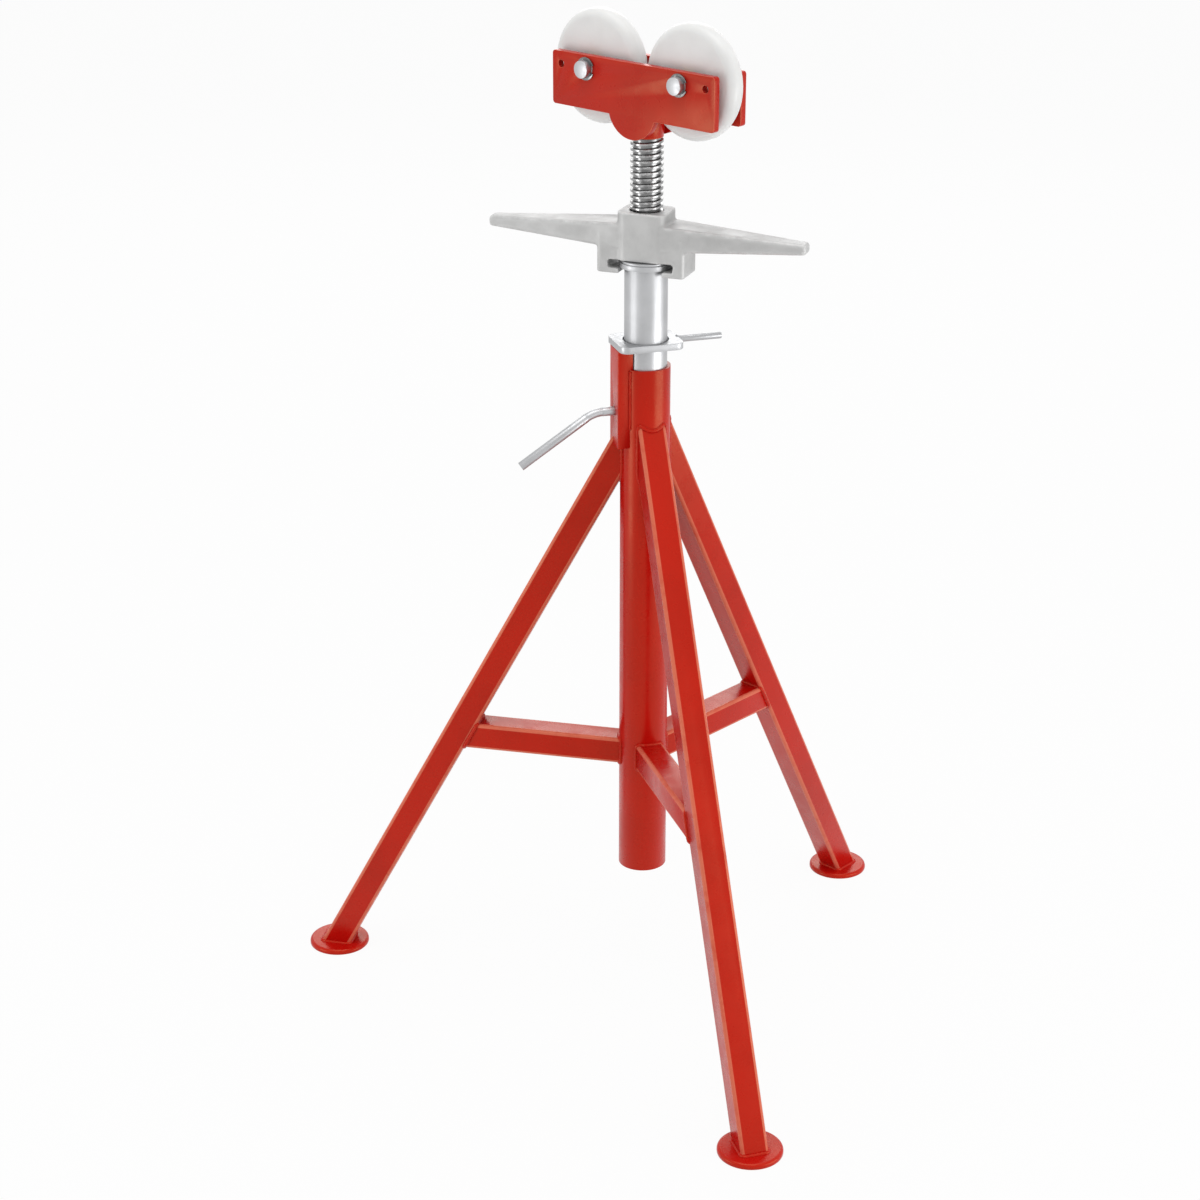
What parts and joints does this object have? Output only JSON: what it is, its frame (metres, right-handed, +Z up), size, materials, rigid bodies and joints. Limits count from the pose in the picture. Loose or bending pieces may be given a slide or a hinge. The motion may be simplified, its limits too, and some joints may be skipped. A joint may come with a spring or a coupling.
{
  "type": "pipe roller support",
  "caption": "Tripod pipe stand with a telescoping post, screw jack with a winged nut, and a roller head that carries a pipe while it turns.",
  "frame": {"origin": "on the floor, on the axis of the post", "axes": "+Z up along the post; +X along the roller head; +Y along the axles and so along a pipe on the rollers"},
  "size_m": [0.5898, 0.5185, 0.9247],
  "materials": {
    "red_paint": "gloss",
    "plated_steel": "bright plated",
    "bare_casting": "matt plated casting",
    "dark_steel": "oiled",
    "nylon": "satin",
    "bronze": "satin"
  },
  "bodies": {
    "base": {"outer_post": "red_paint", "clamp_bracket": "red_paint", "leg_left": "red_paint", "leg_front": "red_paint", "leg_right": "red_paint", "brace_left": "red_paint", "brace_front": "red_paint", "brace_right": "red_paint", "foot_left": "red_paint", "foot_front": "red_paint", "foot_right": "red_paint"},
    "clamp_pad": {"clamp_pad": "bronze"},
    "clamp_screw": {"clamp_screw": "plated_steel"},
    "lock": {"lock_plate": "plated_steel", "lock_lever": "plated_steel"},
    "mast": {"inner_tube": "plated_steel", "tube_collar": "plated_steel", "thrust_washer": "plated_steel"},
    "jack_nut": {"jack_nut": "bare_casting"},
    "head": {"jack_screw": "dark_steel", "head_plate_front": "red_paint", "head_plate_back": "red_paint", "axle_left": "plated_steel", "axle_right": "plated_steel", "ring_left_front": "dark_steel", "ring_left_back": "dark_steel", "ring_right_front": "dark_steel", "ring_right_back": "dark_steel"},
    "roller_left": {"roller_left": "nylon", "bush_left": "bronze"},
    "roller_right": {"roller_right": "nylon", "bush_right": "bronze"}
  },
  "joints": [
    {"name": "clamp_pad_slide", "type": "slide", "parent": "base", "child": "clamp_pad", "axis": [-0.5, -0.866, 0], "range_m": [0, 0.0018]},
    {"name": "clamp_screw_turn", "type": "hinge", "parent": "clamp_pad", "child": "clamp_screw", "pos_m": [0, 0, 0.58], "axis": [-0.5, -0.866, 0], "range_deg": [0, 510]},
    {"name": "lock_lift", "type": "hinge", "parent": "base", "child": "lock", "pos_m": [-0.01451, -0.02514, 0.6375], "axis": [0.866, -0.5, 0], "range_deg": [0, 5]},
    {"name": "mast_slide", "type": "slide", "parent": "base", "child": "mast", "axis": [0, 0, 1], "range_m": [-0.046, 0.39]},
    {"name": "jack_nut_turn", "type": "hinge", "parent": "mast", "child": "jack_nut", "pos_m": [0, 0, 0.7163], "axis": [0, 0, 1], "range_deg": [-5310, 4170]},
    {"name": "head_lift", "type": "slide", "parent": "mast", "child": "head", "axis": [0, 0, 1], "range_m": [-0.059, 0.075]},
    {"name": "roller_left_spin", "type": "hinge", "parent": "head", "child": "roller_left", "pos_m": [-0.0525, 0, 0.8757], "axis": [0, 1, 0], "continuous": true},
    {"name": "roller_right_spin", "type": "hinge", "parent": "head", "child": "roller_right", "pos_m": [0.0525, 0, 0.8757], "axis": [0, 1, 0], "continuous": true}
  ],
  "couplings": [
    {"joint": "head_lift", "follows": "jack_nut_turn", "m_per_rad": -0.00080851},
    {"joint": "clamp_pad_slide", "follows": "clamp_screw_turn", "m_per_rad": 0.00019894}
  ]
}
